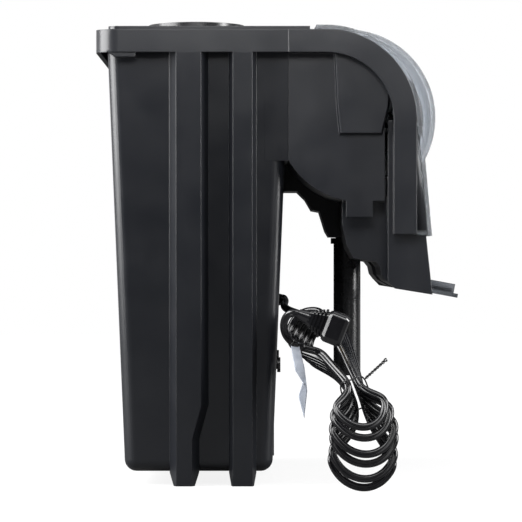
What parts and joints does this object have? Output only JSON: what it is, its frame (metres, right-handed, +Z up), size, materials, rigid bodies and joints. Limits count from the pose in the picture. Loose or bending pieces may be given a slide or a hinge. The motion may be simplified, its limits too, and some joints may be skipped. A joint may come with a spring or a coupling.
{
  "type": "hang-on-back aquarium filter",
  "caption": "Hang-on-back aquarium filter: tapered ribbed chamber with a motor beneath, smoked hood over pleated bio wheels, intake tube, spout lip and tied mains lead.",
  "frame": {"origin": "on the ground under the middle of the filter, halfway from the rim's rear face to the spout lip's front edge", "axes": "+X towards the tank, +Z up, +Y to the left of someone who faces the tank; the wheels' axles lie along Y"},
  "size_m": [0.238, 0.3468, 0.3136],
  "materials": {
    "body_black": "fine satin moulded grain",
    "gloss_black": "glossy",
    "smoked_clear": "smoked clear plastic, glossy",
    "wheel_media": "pleated mesh sheet",
    "bearing_white": "satin",
    "magnet": "coated ferrite",
    "shaft_steel": "ground",
    "bush_rubber": "soft rubber",
    "core_steel": "laminated",
    "coil_copper": "varnished wire",
    "cartridge_blue": "satin",
    "floss_white": "soft floss",
    "lead_pvc": "glossy soft plastic",
    "plug_metal": "polished",
    "tie_black": "satin",
    "tag_paper": "plain paper"
  },
  "bodies": {
    "filter": {"filter_box": "body_black", "cheek_left": "body_black", "cheek_right": "body_black", "spillway_left": "body_black", "spillway_right": "body_black", "front_apron": "body_black", "intake_casing": "body_black", "impeller_cover": "body_black", "cartridge_guide": "body_black", "motor_housing": "body_black", "intake_elbow": "gloss_black", "spout_lip": "smoked_clear", "wheel_bearings": "bearing_white", "impeller_shaft": "shaft_steel", "shaft_bushes": "bush_rubber", "motor_core": "core_steel", "motor_coil": "coil_copper", "cartridge_left": "cartridge_blue", "cartridge_right": "cartridge_blue", "floss_left": "floss_white", "floss_right": "floss_white", "cord_lead": "lead_pvc", "cord_hank": "lead_pvc", "cord_tail": "lead_pvc", "plug_body": "lead_pvc", "strain_relief": "lead_pvc", "plug_blades": "plug_metal", "hank_tie": "tie_black", "cord_tag": "tag_paper"},
    "lid": {"chamber_lid": "body_black", "lid_knob": "gloss_black"},
    "hood": {"front_hood": "smoked_clear"},
    "wheel_left": {"wheel_frame_left": "gloss_black", "wheel_medium_left": "wheel_media"},
    "wheel_right": {"wheel_frame_right": "gloss_black", "wheel_medium_right": "wheel_media"},
    "pump_rotor": {"impeller": "bearing_white", "rotor_magnet": "magnet"},
    "intake": {"intake_tube": "gloss_black"},
    "level_left": {"levelling_pad_left": "gloss_black"},
    "level_right": {"levelling_pad_right": "gloss_black"}
  },
  "joints": [
    {"name": "lid_lift", "type": "slide", "parent": "filter", "child": "lid", "axis": [0, 0, 1], "range_m": [0, 0.06]},
    {"name": "hood_lift", "type": "slide", "parent": "filter", "child": "hood", "axis": [0.7071, 0, 0.7071], "range_m": [0, 0.08]},
    {"name": "wheel_left_spin", "type": "hinge", "parent": "filter", "child": "wheel_left", "pos_m": [0.054, 0.077, 0.2405], "axis": [0, 1, 0], "continuous": true},
    {"name": "wheel_right_spin", "type": "hinge", "parent": "filter", "child": "wheel_right", "pos_m": [0.054, -0.077, 0.2405], "axis": [0, 1, 0], "continuous": true},
    {"name": "impeller_spin", "type": "hinge", "parent": "filter", "child": "pump_rotor", "pos_m": [-0.027, 0, 0.15], "axis": [0, 0, 1], "continuous": true},
    {"name": "intake_slide", "type": "slide", "parent": "filter", "child": "intake", "axis": [0, 0, -1], "range_m": [0, 0.02]},
    {"name": "level_left_screw", "type": "slide", "parent": "filter", "child": "level_left", "axis": [1, 0, 0], "range_m": [0, 0.012]},
    {"name": "level_right_screw", "type": "slide", "parent": "filter", "child": "level_right", "axis": [1, 0, 0], "range_m": [0, 0.012]}
  ]
}
